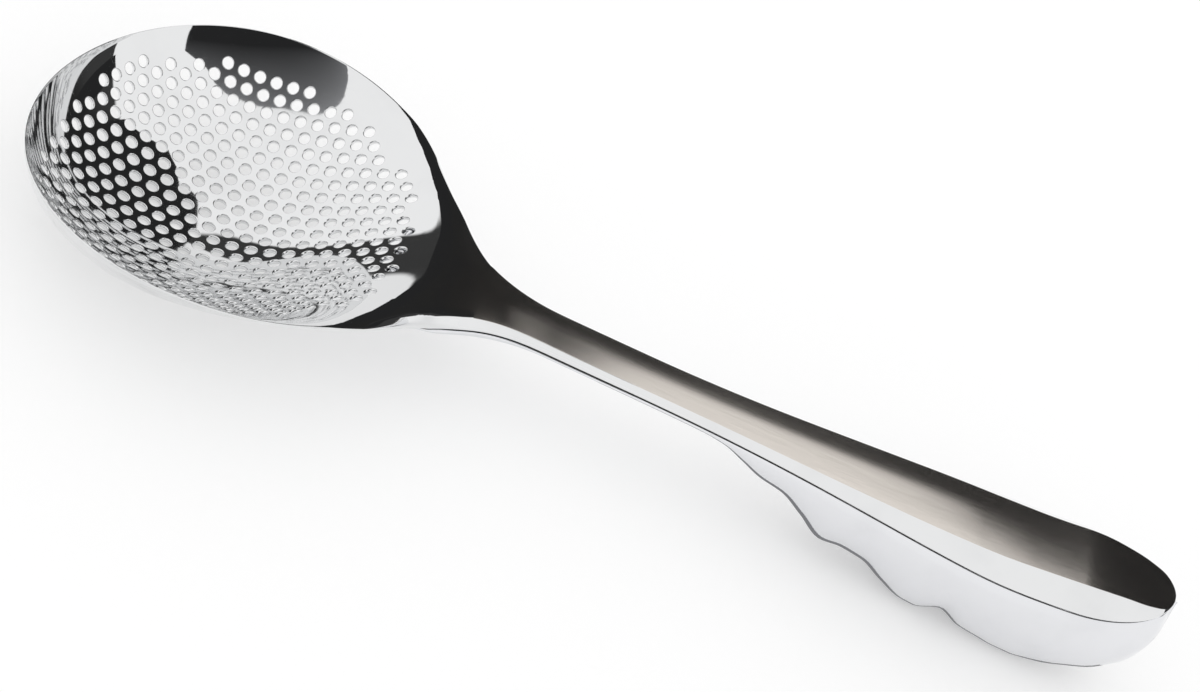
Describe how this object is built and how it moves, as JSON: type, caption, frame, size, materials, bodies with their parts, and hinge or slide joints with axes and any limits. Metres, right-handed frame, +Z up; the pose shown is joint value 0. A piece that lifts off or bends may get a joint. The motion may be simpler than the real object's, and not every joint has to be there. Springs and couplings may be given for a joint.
{
  "type": "perforated serving spoon",
  "caption": "Round dished serving spoon with a perforated bowl for draining, a slim neck and a hollow handle with a finger-grooved underside.",
  "frame": {"origin": "on the table under the middle of the spoon's length", "axes": "+X from the bowl's tip to the end of the handle, +Z up from the table, +Y across"},
  "size_m": [0.2854, 0.101, 0.035],
  "materials": {
    "top_pressing": "polished stainless sheet, fine lengthwise grain on the handle",
    "underside_pressing": "polished stainless sheet",
    "weld": "raw weld, hidden inside the handle"
  },
  "bodies": {
    "root": {"bowl_and_handle_top": "top_pressing", "grip_underside": "underside_pressing", "seam_weld": "weld"}
  },
  "joints": []
}
